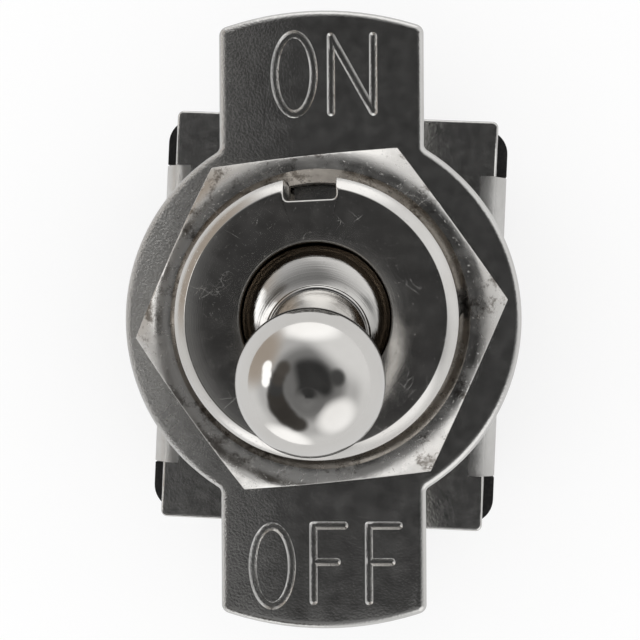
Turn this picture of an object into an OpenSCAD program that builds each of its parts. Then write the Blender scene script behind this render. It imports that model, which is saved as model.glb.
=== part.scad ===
// Panel toggle switch, single pole, on and off, with a threaded bushing and screw terminals.
// Z runs up the bushing, the origin is on its axis at the top face of the steel frame, and +Y points to the ON end.

/* [Bushing] */
// major diameter of the bushing's thread
thread_d = 11.9; // [11.0:0.1:13.0]
// height of the bushing above the frame
bushing_h = 11.9; // [10.5:0.1:14.0]
// diameter of the lever hole in the bushing's face
mouth_d = 6.3; // [6.1:0.1:6.8]
// chamfer round the bushing's face
face_chamfer = 0.5; // [0.1:0.05:0.7]
// width of the keyway down the bushing
keyway_w = 2.2; // [1.6:0.1:2.6]
// depth of the keyway below the thread's crest
keyway_depth = 1.03; // [0.6:0.01:1.2]
// turn of the bushing's keyway against the frame, in degrees
bushing_turn = 5; // [-8:1:8]
// diameter of the spigot that is staked through the frame
spigot_d = 9.6; // [9.2:0.1:10.0]
// diameter of the pivot pin
pin_d = 1.6; // [1.2:0.1:1.8]
// depth of the pivot below the bushing's face
pivot_drop = 4.3; // [4.2:0.1:4.6]
// pitch of the bushing's thread
thread_pitch = 0.794; // [0.7:0.001:1.0]
// depth of the bushing's thread
thread_depth = 0.45; // [0.2:0.05:0.5]
// diameter of the bore below the mouth, where the lever's cap turns
pocket_d = 8.8; // [8.7:0.1:9.0]
// diameter of the bore through the bushing's lower half
bore_d = 8.4; // [8.2:0.1:8.6]

/* [Lever] */
// turn of the lever and its pin against the frame, in degrees
lever_turn = 9; // [-10:1:10]
// whole throw of the lever between OFF and ON, in degrees
lever_throw = 22; // [16:1:24]
// diameter of the ball at the lever's end
ball_d = 5.53; // [4.5:0.01:7.0]
// height of the whole switch, from the barrier between the terminals to the top of the ball
total_h = 38.15; // [35.0:0.05:45.0]
// diameter of the neck under the ball
neck_d = 3.5; // [2.8:0.1:3.8]
// diameter of the grooved collar at the foot of the neck
collar_d = 4.4; // [4.0:0.1:4.6]
// height of the grooved collar's top above the pivot
collar_top = 4.75; // [4.7:0.05:4.9]
// radius of the domed cap that closes the bushing's mouth, round the pivot
cap_r = 4.78; // [4.7:0.02:4.8]
// diameter over the rim of the domed cap
cap_d = 7.64; // [7.6:0.02:7.7]
// diameter of the round hub on the pivot
hub_d = 5.4; // [5.0:0.1:5.6]
// diameter of the tail below the hub
tail_d = 4.0; // [3.8:0.1:4.2]
// length of the tail below the pivot
tail_len = 8.5; // [8.0:0.1:8.8]
// diameter of the bore for the spring and plunger
tail_bore_d = 2.6; // [2.4:0.1:2.8]

/* [Nuts and washer] */
// width of both hexagon nuts across their flats
nut_af = 14.29; // [13.5:0.01:16.0]
// thickness of each nut
nut_t = 2.0; // [1.6:0.1:2.6]
// turn of the front nut, in degrees
front_nut_turn = 8.3; // [0:0.1:60]
// turn of the back nut, in degrees
back_nut_turn = 21; // [0:1:60]
// outside diameter of the toothed lock washer
washer_d = 16.2; // [15.0:0.1:17.0]
// thickness of the lock washer
washer_t = 0.7; // [0.5:0.1:0.9]
// number of teeth inside the lock washer
washer_teeth = 12; // [8:1:16]

/* [Indicator plate] */
// height of the plate's underside above the frame
plate_z = 5.5; // [5.0:0.1:5.8]
// thickness of the plate
plate_t = 0.9; // [0.6:0.1:1.0]
// diameter of the plate's round middle
plate_d = 17.8; // [17.0:0.1:20.0]
// length of the plate over its two ends
plate_len = 27.74; // [24.0:0.01:32.0]
// width of the lettered ends
plate_end_w = 9.2; // [8.0:0.1:11.0]
// corner radius of the lettered ends
plate_corner_r = 0.42; // [0.2:0.02:1.0]
// radius where the ends run into the round middle
plate_fillet_r = 0.35; // [0.2:0.05:1.0]
// turn of the plate against the frame, in degrees
plate_turn = 2.7; // [-5:0.1:5]

/* [Frame] */
// length of the frame's top along Y
frame_len = 19.8; // [19.4:0.1:21.0]
// width of the frame over its two legs
frame_w = 16.7; // [16.5:0.1:18.0]
// width of the frame's top at its ends, beside the legs
frame_top_w = 15.6; // [15.0:0.1:16.0]
// thickness of the frame's sheet
frame_t = 0.9; // [0.7:0.1:1.0]
// corner radius of the frame's top
frame_corner_r = 0.3; // [0.2:0.05:1.0]
// width of each leg
leg_w = 14.5; // [12.0:0.1:15.0]
// outside radius of the bend from top to leg
bend_r = 1.0; // [0.95:0.05:1.4]
// width of each of the four tabs folded under the case
tab_w = 3.0; // [2.0:0.1:4.0]
// reach of each folded tab under the case
tab_reach = 1.9; // [1.2:0.1:2.4]

/* [Case] */
// step from the frame's end in to the case's end
case_step = 0.25; // [0.05:0.05:0.5]
// corner radius of the case
case_corner_r = 1.2; // [0.8:0.1:1.6]
// depth of the case's rear face below the frame's top
case_depth = 12.4; // [12.0:0.1:14.0]
// depth of the switch chamber's floor below the frame's top
floor_depth = 9.0; // [8.8:0.1:9.2]
// thickness of the insulating sheet under the frame
sheet_t = 0.4; // [0.3:0.05:0.5]
// height of the barrier between the two terminals
barrier_h = 2.9; // [1.5:0.1:4.0]

/* [Contacts] */
// rocking angle of the contact arm to each side of level, in degrees
arm_swing = 8; // [6:0.5:8]
// rise of the contact arm's two wings, in degrees
arm_rise = 15.5; // [15:0.5:16]
// half length of the contact arm
arm_half = 5.4; // [5.2:0.1:5.6]
// width of the contact arm
arm_w = 5.0; // [4.2:0.1:5.4]
// thickness of the contact arm's sheet
arm_t = 0.9; // [0.8:0.05:1.0]
// distance of the contacts from the fulcrum
contact_y = 4.7; // [4.4:0.1:4.8]
// diameter of the silver contacts
contact_d = 2.3; // [1.8:0.1:2.6]
// reach of the plunger's tip below the pivot
tip_reach = 12.2; // [12.1:0.05:12.2]

/* [Terminals] */
// thickness of the terminal plates
terminal_t = 1.0; // [0.8:0.1:1.2]
// width of the terminal plates
terminal_w = 7.2; // [6.0:0.1:8.0]
// thread diameter of the terminal screws
screw_d = 3.4; // [3.0:0.1:3.5]
// head diameter of the terminal screws
screw_head_d = 5.6; // [5.0:0.1:5.8]
// head height of the terminal screws
screw_head_h = 1.6; // [1.2:0.1:2.0]
// distance of each rivet from the middle
rivet_y = 2.4; // [2.2:0.1:2.5]
// diameter of the rivets' shanks
rivet_d = 1.6; // [1.2:0.1:1.8]

/* [Clearances] */
// radial clearance of the pivot pin in the lever, and of the plunger in its bore
run_gap = 0.05; // [0.03:0.01:0.1]
// radial clearance of the contact arm on its fulcrum
saddle_gap = 0.07; // [0.03:0.01:0.1]
// clearance round fixed pieces that are pushed or screwed together
fit_gap = 0.04; // [0.02:0.01:0.1]
// gap left between contacts and stops where they meet
touch_gap = 0.05; // [0.03:0.01:0.1]
// gap between each rivet's foot and the head of the screw beside it
head_gap = 0.13; // [0.1:0.01:0.3]

/* [Hidden] */
$fn = 64;
thread_r = thread_d / 2;
pivot_z = bushing_h - pivot_drop;
lever_rest = lever_throw / 2;
// distance from the pivot to the centre of the ball
ball_reach = (total_h - barrier_h - case_depth - pivot_z - ball_d / 2) / cos(lever_rest);
front_nut_z = plate_z + plate_t;
back_nut_z = plate_z - washer_t - nut_t;
tip_r = 1.25;
plunger_r = tail_bore_d / 2 - run_gap;
// height of the fulcrum's edge, set so that the plunger's tip clears both wings all the way over
fulcrum_z = pivot_z - tip_reach - 1.42;
saddle_r = 0.62;
saddle_top = 1.2;
floor_z = -floor_depth;
rear_z = -case_depth;
case_w = frame_w;
case_len = frame_len - 2 * case_step;
end_wall = 1.75;
chamber_x = case_w / 2 - frame_t - 1.55;
chamber_y = case_len / 2 - end_wall;
rivet_foot_r = rivet_d / 2 + 0.22;
// each screw sits beside its rivet
screw_y = rivet_y + rivet_foot_r + head_gap + screw_head_d / 2;
hole_floor = 0.8;
wing_under = saddle_top * cos(arm_rise) - arm_t;
press_slope = arm_rise - arm_swing;
button_h = 0.5;
bracket_t = 0.8;
bracket_w = 4.6;
dome_r = 2.0;
// lowest point of the moving contact's face when the arm is pressed, and the fixed contact's top under it
face_z = fulcrum_z + (wing_under - button_h) / cos(press_slope) + contact_y * tan(press_slope);
fixed_top = face_z + dome_r - (dome_r + touch_gap) / cos(press_slope);
fixed_plate_z = fixed_top - 0.8;
stop_y = 4.6;
stop_z = fulcrum_z + wing_under / cos(press_slope) + stop_y * tan(press_slope) - touch_gap;

module ring(r_out, r_in, h)
{
    difference()
    {
        cylinder(r = r_out, h = h);
        translate([0, 0, -1])
            cylinder(r = r_in, h = h + 2);
    }
}

module round_rect(w, l, r, h)
{
    linear_extrude(height = h)
    {
        square([w - 2 * r, l], center = true);
        square([w, l - 2 * r], center = true);
        for (x = [-1, 1], y = [-1, 1])
            translate([x * (w / 2 - r), y * (l / 2 - r)])
                circle(r = r);
    }
}

// ---------------------------------------------------------------- frame

// one leg: a quarter bend, the flat side and two tabs folded inward under the case
module leg()
{
    x_out = frame_w / 2;
    r_in = bend_r - frame_t;
    // bend
    intersection()
    {
        translate([x_out - bend_r, leg_w / 2, -bend_r])
            rotate([90, 0, 0])
                ring(bend_r, r_in, leg_w);
        translate([x_out - bend_r, -leg_w, -bend_r])
            cube([bend_r + 1, 2 * leg_w, bend_r + 1]);
    }
    // web from the bend to the top plate
    translate([frame_top_w / 2 - 3, -leg_w / 2, -frame_t])
        cube([x_out - bend_r - frame_top_w / 2 + 3, leg_w, frame_t]);
    // flat side, narrowing at its lower corners
    translate([x_out - frame_t, 0, 0])
        rotate([90, 0, 90])
            linear_extrude(height = frame_t)
                polygon([
                    [-leg_w / 2, -bend_r], [leg_w / 2, -bend_r], [leg_w / 2, -case_depth + 4.2],
                    [leg_w / 2 - 1.4, -case_depth + 2.8], [-leg_w / 2 + 1.4, -case_depth + 2.8],
                    [-leg_w / 2, -case_depth + 4.2]
                ]);
    for (y = [-1, 1])
        translate([0, y * (leg_w / 2 - 1.6 - tab_w / 2) - tab_w / 2, 0])
            fold_tab(x_out);
}

// a tab runs down the case's side and turns in under its rear face
module fold_tab(x_out)
{
    translate([x_out - frame_t, 0, rear_z])
        cube([frame_t, tab_w, 3.2]);
    intersection()
    {
        translate([x_out - frame_t, tab_w, rear_z])
            rotate([90, 0, 0])
                cylinder(r = frame_t, h = tab_w);
        translate([x_out - frame_t, -1, rear_z - 2])
            cube([3, tab_w + 2, 2]);
    }
    translate([x_out - tab_reach, 0, rear_z - frame_t])
        cube([tab_reach - frame_t, tab_w, frame_t]);
}

module frame()
{
    color("silver")
    difference()
    {
        union()
        {
            translate([0, 0, -frame_t])
                round_rect(frame_top_w, frame_len, frame_corner_r, frame_t);
            leg();
            mirror([1, 0, 0])
                leg();
        }
        translate([0, 0, -frame_t - 1])
            cylinder(d = spigot_d + 2 * fit_gap, h = frame_t + 2);
    }
}

// -------------------------------------------------------------- bushing

// half section of the bushing's outside, with the thread drawn as rings of one pitch
module thread_section()
{
    root_r = thread_r - thread_depth;
    crest = thread_pitch * 0.18;
    slope = thread_pitch * 0.34;
    first = 0.6;
    rings = floor((bushing_h - face_chamfer - 0.4 - first) / thread_pitch);
    polygon(concat(
        [[0, 0], [thread_r, 0]],
        [for (i = [0:rings - 1], p = [[thread_r, 0], [root_r, slope], [root_r, slope + 0.14 * thread_pitch],
            [thread_r, thread_pitch - crest]])
            [p[0], first + i * thread_pitch + p[1]]],
        [[thread_r, bushing_h - face_chamfer], [thread_r - face_chamfer, bushing_h], [0, bushing_h]]
    ));
}

module bushing()
{
    lip_z = -frame_t - 0.6;
    color("lightgray")
    rotate([0, 0, bushing_turn])
    difference()
    {
        union()
        {
            rotate_extrude()
                thread_section();
            translate([0, 0, lip_z])
                cylinder(d = spigot_d, h = -lip_z + 0.5);
            // the staked lip under the frame
            translate([0, 0, lip_z])
                cylinder(d1 = spigot_d + 0.4, d2 = spigot_d + 1.4, h = 0.6);
        }
        // mouth through the lip that holds the lever's cap in
        translate([0, 0, pivot_z + 3])
            cylinder(d = mouth_d, h = bushing_h);
        translate([0, 0, bushing_h - 0.15])
            cylinder(d1 = mouth_d, d2 = mouth_d + 0.4, h = 0.2);
        // round seat for the cap, with straight sides that clear its rim
        intersection()
        {
            translate([0, 0, pivot_z])
                sphere(r = cap_r + run_gap);
            translate([0, 0, pivot_z + 1])
                cylinder(d = pocket_d, h = bushing_h);
        }
        // bore that gives the tail room to swing
        translate([0, 0, lip_z - 0.1])
            cylinder(d = bore_d, h = pivot_z + 1.2 - lip_z);
        // keyway
        translate([-keyway_w / 2, thread_r - keyway_depth, -0.01])
            cube([keyway_w, 3, bushing_h + 1]);
        // cross hole for the pivot pin
        rotate([0, 0, lever_turn - bushing_turn])
            translate([-thread_r - 1, 0, pivot_z])
                rotate([0, 90, 0])
                    cylinder(d = pin_d + 0.02, h = thread_d + 2);
    }
}

module pivot_pin()
{
    pin_len = thread_d - 1.3;
    color("gray")
    rotate([0, 0, lever_turn])
        translate([-pin_len / 2, 0, pivot_z])
            rotate([0, 90, 0])
            {
                translate([0, 0, 0.2])
                    cylinder(d = pin_d, h = pin_len - 0.4);
                cylinder(d1 = pin_d - 0.3, d2 = pin_d, h = 0.2);
                translate([0, 0, pin_len - 0.2])
                    cylinder(d1 = pin_d, d2 = pin_d - 0.3, h = 0.2);
            }
}

// ---------------------------------------------------------------- lever

// sets a shape that is drawn along +Z from the pivot at the lever's OFF position
module on_lever()
{
    translate([0, 0, pivot_z])
        rotate([0, 0, lever_turn])
            rotate([lever_rest, 0, 0])
                children();
}

module lever()
{
    ball_r = ball_d / 2;
    collar_r = collar_d / 2;
    neck_r = neck_d / 2;
    pole_cut = 0.035;
    color("gainsboro")
    on_lever()
    difference()
    {
        union()
        {
            // ball with the small flat and nib that turning leaves on its end
            difference()
            {
                translate([0, 0, ball_reach])
                    sphere(r = ball_r);
                translate([0, 0, ball_reach + ball_r - pole_cut])
                    cylinder(r = ball_r, h = 2);
            }
            translate([0, 0, ball_reach + ball_r - pole_cut - 0.1])
                cylinder(r = 0.2, h = 0.15);
            // neck, flaring a little at its foot
            translate([0, 0, collar_top - 0.2])
                cylinder(r = neck_r, h = ball_reach - collar_top);
            translate([0, 0, collar_top - 0.01])
                cylinder(r1 = neck_r + 0.15, r2 = neck_r, h = 0.6);
            // grooved collar
            translate([0, 0, 0.8])
                cylinder(r = collar_r, h = collar_top - 0.5 - 0.8);
            translate([0, 0, collar_top - 0.51])
                cylinder(r1 = collar_r, r2 = collar_r - 0.1, h = 0.1);
            translate([0, 0, collar_top - 0.6])
                cylinder(r = collar_r - 0.27, h = 0.5);
            translate([0, 0, collar_top - 0.27])
                cylinder(r = collar_r - 0.12, h = 0.2);
            translate([0, 0, collar_top - 0.07])
                cylinder(r1 = collar_r - 0.12, r2 = collar_r - 0.19, h = 0.07);
            // domed cap round the pivot, with a cone under it
            intersection()
            {
                sphere(r = cap_r);
                union()
                {
                    translate([0, 0, 2.5])
                        cylinder(d = cap_d, h = 3);
                    translate([0, 0, 1.7])
                        cylinder(r1 = tail_d / 2, d2 = cap_d, h = 0.81);
                }
            }
            // hub
            sphere(d = hub_d);
            // tail
            translate([0, 0, -tail_len + 0.3])
                cylinder(d = tail_d, h = tail_len - 0.8);
            translate([0, 0, -tail_len])
                cylinder(d1 = tail_d - 0.6, d2 = tail_d, h = 0.3);
        }
        // hole for the pivot pin
        translate([-hub_d, 0, 0])
            rotate([0, 90, 0])
                cylinder(d = pin_d + 2 * run_gap, h = 2 * hub_d);
        // blind bore for the spring and the plunger
        translate([0, 0, -tail_len - 1])
            cylinder(d = tail_bore_d, h = tail_len - 0.8);
        translate([0, 0, -1.8])
            cylinder(d1 = tail_bore_d, d2 = 0.02, h = 0.5);
    }
}

// -------------------------------------------------------------- plunger

plunger_top = -5.0;
plunger_shoulder = -tail_len - 0.62;

module plunger()
{
    tip_z = -tip_reach + tip_r;
    color("ivory")
    on_lever()
    {
        translate([0, 0, plunger_shoulder - 0.1])
            cylinder(r = plunger_r, h = plunger_top - plunger_shoulder + 0.1 - 0.15);
        translate([0, 0, plunger_top - 0.15])
            cylinder(r1 = plunger_r, r2 = plunger_r - 0.15, h = 0.15);
        translate([0, 0, plunger_shoulder - 0.8])
            cylinder(r = 1.7, h = 0.8);
        translate([0, 0, tip_z - 0.02])
            cylinder(r1 = tip_r, r2 = 1.7, h = plunger_shoulder - 0.8 - tip_z + 0.02);
        translate([0, 0, tip_z])
            sphere(r = tip_r);
    }
}

// --------------------------------------------------------------- spring

// a coil with closed ends, drawn upward from the plunger's top to the end of the bore
spring_lo = plunger_top + 0.02;
spring_hi = -1.85;
wire_r = 0.16;
coil_r = tail_bore_d / 2 - wire_r - 0.06;
turns = 6;
steps = 20;
sides = 8;
rings = turns * steps;
function coil_z(i) =
    let (lo = spring_lo + wire_r, hi = spring_hi - wire_r, u = i / steps)
    u < 1 ? lo + u * 0.34 :
    u > turns - 1 ? hi - (turns - u) * 0.34 :
    lo + 0.34 + (u - 1) * (hi - lo - 0.68) / (turns - 2);
coil_points = [
    for (i = [0:rings], j = [0:sides - 1])
        let (a = 360 * i / steps, b = 360 * j / sides, r = coil_r + wire_r * cos(b))
        [r * cos(a), r * sin(a), coil_z(i) + wire_r * sin(b)]
];
coil_faces = concat(
    [for (i = [0:rings - 1], j = [0:sides - 1])
        [i * sides + j, (i + 1) * sides + j, (i + 1) * sides + (j + 1) % sides]],
    [for (i = [0:rings - 1], j = [0:sides - 1])
        [i * sides + j, (i + 1) * sides + (j + 1) % sides, i * sides + (j + 1) % sides]],
    [[for (j = [0:sides - 1]) j]],
    [[for (j = [0:sides - 1]) rings * sides + sides - 1 - j]]
);

module spring()
{
    color("darkgray")
    on_lever()
        polyhedron(points = coil_points, faces = coil_faces);
}

// ------------------------------------------------------ nuts and washer

module hex_nut()
{
    corner_r = nut_af / 2 / cos(30);
    flat_r = nut_af / 2 * 0.965;
    // the countersinks take up two thirds of the face's width
    sink_r = thread_r + (flat_r - thread_r) * 0.65;
    sink_t = nut_t / 4;
    // both faces are chamfered at 30 degrees, on cones that meet beyond the corners at half height
    cone_r = flat_r + nut_t / 2 / tan(30);
    difference()
    {
        intersection()
        {
            cylinder(r = corner_r, h = nut_t, $fn = 6);
            union()
            {
                cylinder(r1 = flat_r, r2 = cone_r, h = nut_t / 2);
                translate([0, 0, nut_t / 2])
                    cylinder(r1 = cone_r, r2 = flat_r, h = nut_t / 2);
            }
        }
        translate([0, 0, -1])
            cylinder(r = thread_r + fit_gap, h = nut_t + 2);
        translate([0, 0, nut_t - sink_t])
            cylinder(r1 = thread_r + fit_gap, r2 = sink_r, h = sink_t + 0.01);
        translate([0, 0, -0.01])
            cylinder(r1 = sink_r, r2 = thread_r + fit_gap, h = sink_t + 0.01);
    }
}

module front_nut()
{
    color("silver")
    translate([0, 0, front_nut_z])
        rotate([0, 0, front_nut_turn])
            hex_nut();
}

module back_nut()
{
    color("silver")
    translate([0, 0, back_nut_z])
        rotate([0, 0, back_nut_turn])
            hex_nut();
}

module lock_washer()
{
    tooth_w = 1.5;
    color("darkgray")
    translate([0, 0, plate_z - washer_t])
    {
        ring(washer_d / 2, washer_d / 2 - 1.1, washer_t);
        for (i = [0:washer_teeth - 1])
            rotate([0, 0, i * 360 / washer_teeth + 4])
                translate([thread_r + 0.08, -tooth_w / 2, 0.1])
                    cube([washer_d / 2 - 0.6 - thread_r, tooth_w, washer_t - 0.2]);
    }
}

// ------------------------------------------------------ indicator plate

module plate_outline()
{
    w = plate_end_w / 2;
    big_r = plate_len / 2;
    mid_r = plate_d / 2;
    corner_y = sqrt(pow(big_r - plate_corner_r, 2) - pow(w - plate_corner_r, 2));
    fillet_y = sqrt(pow(mid_r + plate_fillet_r, 2) - pow(w + plate_fillet_r, 2));
    reach = 1.2;
    inner = (mid_r - 0.1) / (mid_r + plate_fillet_r);
    circle(r = mid_r);
    square([2 * w, 2 * corner_y], center = true);
    for (s = [-1, 1])
    {
        intersection()
        {
            circle(r = big_r, $fn = 128);
            polygon([
                [0, 0], [reach * (w - plate_corner_r), s * reach * corner_y],
                [-reach * (w - plate_corner_r), s * reach * corner_y]
            ]);
        }
        for (x = [-1, 1])
        {
            translate([x * (w - plate_corner_r), s * corner_y])
                circle(r = plate_corner_r);
            // hollow corner beside the round middle
            difference()
            {
                patch = [
                    [x * (w - 0.1), s * (fillet_y - 1.2)],
                    [x * (w + plate_fillet_r) * inner, s * fillet_y * inner],
                    [x * (w + plate_fillet_r), s * fillet_y],
                    [x * (w - 0.2), s * fillet_y], [x * (w - 0.2), s * (fillet_y - 1.2)]
                ];
                polygon(x * s > 0 ? patch : [for (i = [4:-1:0]) patch[i]]);
                translate([x * (w + plate_fillet_r - 0.01), s * (fillet_y - 0.01)])
                    circle(r = plate_fillet_r);
            }
        }
    }
}

module indicator_plate()
{
    key_in = thread_r - keyway_depth + 0.15;
    color("dimgray")
    translate([0, 0, plate_z])
        rotate([0, 0, plate_turn])
            linear_extrude(height = plate_t)
            {
                difference()
                {
                    plate_outline();
                    circle(r = thread_r + 0.1);
                }
                // key that stops the plate turning on the bushing
                rotate([0, 0, bushing_turn - plate_turn])
                    translate([-keyway_w / 2 + 0.12, key_in])
                        square([keyway_w - 0.24, thread_r + 0.6 - key_in]);
            }
}

// ----------------------------------------------------------------- case

module case()
{
    top_z = -frame_t - sheet_t;
    color("black")
    difference()
    {
        union()
        {
            difference()
            {
                translate([0, 0, rear_z])
                    round_rect(case_w, case_len, case_corner_r, top_z - rear_z);
                // switch chamber
                translate([-chamber_x, -chamber_y, floor_z])
                    cube([2 * chamber_x, 2 * chamber_y, 20]);
            }
            // ledge on which the raised side of the contact arm rests
            translate([-2.4, stop_y, floor_z - 0.5])
                cube([4.8, chamber_y - stop_y + 0.5, stop_z - floor_z + 0.5]);
            // barrier between the terminals
            translate([-case_w / 2 + 1.4, -0.8, rear_z - barrier_h])
                cube([case_w - 2.8, 1.6, barrier_h + 0.5]);
        }
        // recesses for the legs, flush with the case's sides
        for (x = [-1, 1])
            translate([x * (case_w / 2 - frame_t / 2 - fit_gap / 2 + 1), 0, 0])
                cube([frame_t + fit_gap + 2, leg_w + 0.2, 3 * case_depth], center = true);
        for (y = [-1, 1])
        {
            // blind hole behind each terminal screw
            translate([0, y * screw_y, rear_z - 1])
                cylinder(d = screw_d + 0.6, h = 1 + case_depth - floor_depth - hole_floor);
            // hole for each rivet
            translate([0, y * rivet_y, rear_z - 1])
                cylinder(d = rivet_d + 2 * fit_gap, h = 6);
        }
    }
}

module insulating_sheet()
{
    color("saddlebrown")
    translate([0, 0, -frame_t - sheet_t])
        difference()
        {
            round_rect(frame_w - 2 * bend_r - 0.1, case_len - 0.2, 1.5, sheet_t);
            translate([0, 0, -1])
                cylinder(d = spigot_d + 1.6, h = 3);
        }
}

// ------------------------------------------------------------- contacts

// sets a shape drawn round the fulcrum's edge, with the arm level, at the OFF position
module on_fulcrum()
{
    translate([0, 0, fulcrum_z])
        rotate([-arm_swing, 0, 0])
            children();
}

module contact_arm()
{
    top_y = arm_half;
    rise_end = arm_half * tan(arm_rise);
    drop = arm_t / cos(arm_rise);
    color("peru")
    on_fulcrum()
    difference()
    {
        union()
        {
            translate([-arm_w / 2, 0, 0])
                rotate([90, 0, 90])
                    linear_extrude(height = arm_w)
                        polygon([
                            [0, saddle_top], [top_y, saddle_top + rise_end],
                            [top_y + arm_t * sin(arm_rise), saddle_top + rise_end - drop * 0.93],
                            [0, saddle_top - drop],
                            [-top_y - arm_t * sin(arm_rise), saddle_top + rise_end - drop * 0.93],
                            [-top_y, saddle_top + rise_end]
                        ]);
            // ears folded down over the fulcrum's ends
            for (x = [-1, 1])
                translate([x * (arm_w / 2 + 0.25) - 0.35, -1.0, -1.1])
                    cube([0.7, 2.0, 2.2]);
        }
        translate([-arm_w, 0, 0])
            rotate([0, 90, 0])
                cylinder(r = saddle_r, h = 2 * arm_w);
        // hole for the moving contact
        rotate([-arm_rise, 0, 0])
            translate([0, -contact_y, -3])
                cylinder(r = 0.62, h = 6);
    }
}

// a silver rivet through the wing, with its face on the wing's underside
module moving_contact()
{
    color("whitesmoke")
    on_fulcrum()
        rotate([-arm_rise, 0, 0])
            translate([0, -contact_y, wing_under])
            {
                translate([0, 0, -button_h])
                    cylinder(d1 = contact_d - 0.3, d2 = contact_d, h = 0.15);
                translate([0, 0, -button_h + 0.15])
                    cylinder(d = contact_d, h = button_h - 0.15);
                translate([0, 0, -0.1])
                    cylinder(r = 0.6, h = arm_t + 0.1);
                translate([0, 0, arm_t])
                    cylinder(r1 = 0.95, r2 = 0.7, h = 0.25);
            }
}

module fixed_contact()
{
    color("whitesmoke")
    translate([0, -contact_y, 0])
    {
        intersection()
        {
            translate([0, 0, fixed_top - dome_r])
                sphere(r = dome_r);
            translate([0, 0, fixed_plate_z])
                cylinder(d = contact_d, h = 2);
        }
        translate([0, 0, fixed_plate_z - bracket_t - 0.1])
            cylinder(r = 0.6, h = bracket_t + 0.2);
        translate([0, 0, fixed_plate_z - bracket_t - 0.3])
            cylinder(r1 = 0.75, r2 = 0.95, h = 0.3);
    }
}

module fulcrum_bracket()
{
    edge_r = saddle_r - saddle_gap;
    color("goldenrod")
    difference()
    {
        union()
        {
            translate([-bracket_w / 2, -edge_r, floor_z])
                cube([bracket_w, edge_r + rivet_y + 1.8, bracket_t]);
            translate([-bracket_w / 2, -edge_r, floor_z])
                cube([bracket_w, 2 * edge_r, fulcrum_z - floor_z]);
            translate([-bracket_w / 2, 0, fulcrum_z])
                rotate([0, 90, 0])
                    cylinder(r = edge_r, h = bracket_w);
        }
        translate([0, rivet_y, floor_z - 1])
            cylinder(d = rivet_d + 2 * fit_gap, h = 3);
    }
}

module contact_bracket()
{
    y_out = -chamber_y + 0.5;
    top_z = fixed_plate_z;
    color("goldenrod")
    difference()
    {
        union()
        {
            translate([-bracket_w / 2, y_out, floor_z])
                cube([bracket_w, -y_out - 1.1, bracket_t]);
            translate([-bracket_w / 2, y_out, floor_z])
                cube([bracket_w, bracket_t, top_z - floor_z]);
            translate([-bracket_w / 2, y_out, top_z - bracket_t])
                cube([bracket_w, -y_out - 3.4, bracket_t]);
        }
        translate([0, -rivet_y, floor_z - 1])
            cylinder(d = rivet_d + 2 * fit_gap, h = 1 + bracket_t + 0.1);
        // access hole under the fixed contact's rivet
        translate([0, -contact_y, floor_z - 1])
            cylinder(r = 1.15, h = 1 + bracket_t + 0.1);
        translate([0, -contact_y, top_z - 2])
            cylinder(r = 0.62, h = 3);
    }
}

// ------------------------------------------------------------ terminals

module terminal_plate(side)
{
    plate_from = 1.1;
    plate_to = case_len / 2 - 0.35;
    translate([0, side * (plate_from + plate_to) / 2, rear_z - terminal_t])
        difference()
        {
            round_rect(terminal_w, plate_to - plate_from, 0.8, terminal_t);
            translate([0, side * (screw_y - (plate_from + plate_to) / 2), -1])
                cylinder(d = screw_d + 2 * fit_gap, h = terminal_t + 2);
            translate([0, side * (rivet_y - (plate_from + plate_to) / 2), -1])
                cylinder(d = rivet_d + 2 * fit_gap, h = terminal_t + 2);
        }
}

module terminal_common()
{
    color("gold")
    terminal_plate(1);
}

module terminal_load()
{
    color("gold")
    terminal_plate(-1);
}

module rivet(side)
{
    head_z = floor_z + bracket_t;
    foot_z = rear_z - terminal_t;
    translate([0, side * rivet_y, 0])
    {
        translate([0, 0, foot_z])
            cylinder(d = rivet_d, h = head_z - foot_z);
        translate([0, 0, head_z])
            cylinder(r1 = 1.2, r2 = 0.9, h = 0.55);
        difference()
        {
            translate([0, 0, foot_z - 0.5])
                cylinder(r1 = rivet_foot_r - 0.22, r2 = rivet_foot_r, h = 0.5);
            translate([0, 0, foot_z - 0.8])
                cylinder(r = 0.35, h = 0.6);
        }
    }
}

module rivet_common()
{
    color("khaki")
    rivet(1);
}

module rivet_load()
{
    color("khaki")
    rivet(-1);
}

module terminal_screw(side, turn)
{
    seat_z = rear_z - terminal_t;
    crown_r = 9.5;
    // the shank ends short of its blind hole's end
    shank = terminal_t + case_depth - floor_depth - hole_floor - 0.4;
    translate([0, side * screw_y, seat_z])
        rotate([0, 0, turn])
            difference()
            {
                union()
                {
                    // shank up into the case
                    translate([0, 0, -0.1])
                        cylinder(d = screw_d, h = shank + 0.1);
                    intersection()
                    {
                        translate([0, 0, -screw_head_h])
                            cylinder(d = screw_head_d, h = screw_head_h);
                        translate([0, 0, crown_r - screw_head_h])
                            sphere(r = crown_r, $fn = 96);
                    }
                }
                translate([-screw_head_d, -0.4, -screw_head_h - 1])
                    cube([2 * screw_head_d, 0.8, 1.85]);
            }
}

module screw_common()
{
    color("silver")
    terminal_screw(1, 24);
}

module screw_load()
{
    color("silver")
    terminal_screw(-1, -38);
}

frame();
bushing();
lever();
pivot_pin();
front_nut();
back_nut();
lock_washer();
indicator_plate();
case();
insulating_sheet();
plunger();
spring();
contact_arm();
moving_contact();
fixed_contact();
fulcrum_bracket();
contact_bracket();
terminal_common();
terminal_load();
rivet_common();
rivet_load();
screw_common();
screw_load();
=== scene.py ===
import math

import bmesh
import bpy
from mathutils import Matrix, Vector


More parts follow.
